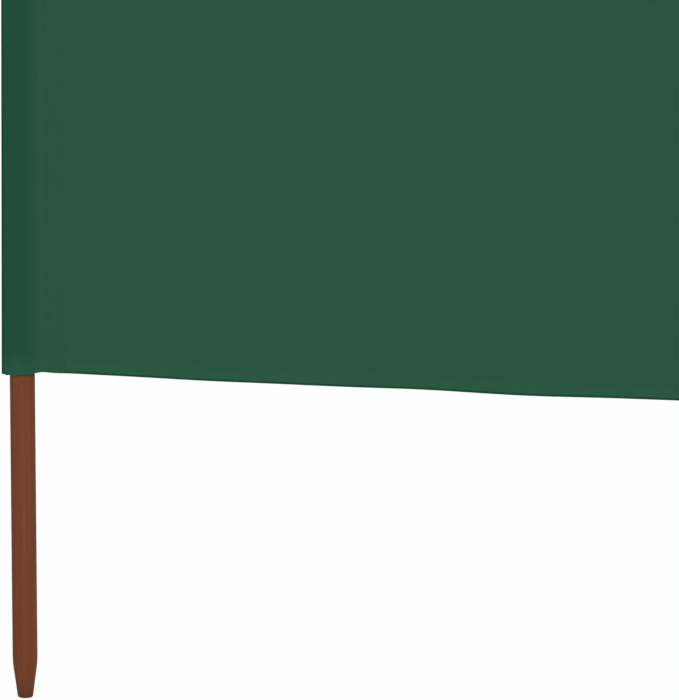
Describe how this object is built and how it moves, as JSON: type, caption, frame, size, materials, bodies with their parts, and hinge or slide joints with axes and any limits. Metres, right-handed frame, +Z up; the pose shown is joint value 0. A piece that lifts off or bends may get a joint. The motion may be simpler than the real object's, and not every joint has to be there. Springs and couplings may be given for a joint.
{
  "type": "beach windbreak",
  "caption": "Low cloth windbreak in plain green: bays of fabric with sewn sleeves on pointed round wooden posts, set out in a shallow zigzag.",
  "frame": {"origin": "centre of the flat end of the middle post's point, post_4", "axes": "+X along the row, -Y towards the front that the picture shows, +Z up along the posts"},
  "size_m": [7.7584, 0.372, 1.13],
  "materials": {
    "wood": "stained softwood, matte",
    "cloth": "woven, matte"
  },
  "bodies": {
    "root": {"post_1": "wood", "post_2": "wood", "post_3": "wood", "post_4": "wood", "post_5": "wood", "post_6": "wood", "post_7": "wood", "panel_1": "cloth", "panel_2": "cloth", "panel_3": "cloth", "panel_4": "cloth", "panel_5": "cloth", "panel_6": "cloth", "end_sleeve_left": "cloth", "end_sleeve_right": "cloth", "sleeve_front_2": "cloth", "sleeve_front_3": "cloth", "sleeve_front_4": "cloth", "sleeve_front_5": "cloth", "sleeve_front_6": "cloth", "sleeve_back_2": "cloth", "sleeve_back_3": "cloth", "sleeve_back_4": "cloth", "sleeve_back_5": "cloth", "sleeve_back_6": "cloth", "closing_strip_1": "cloth", "closing_strip_2": "cloth", "closing_strip_3": "cloth", "closing_strip_4": "cloth", "closing_strip_5": "cloth", "closing_strip_6": "cloth", "closing_strip_7": "cloth"}
  },
  "joints": []
}
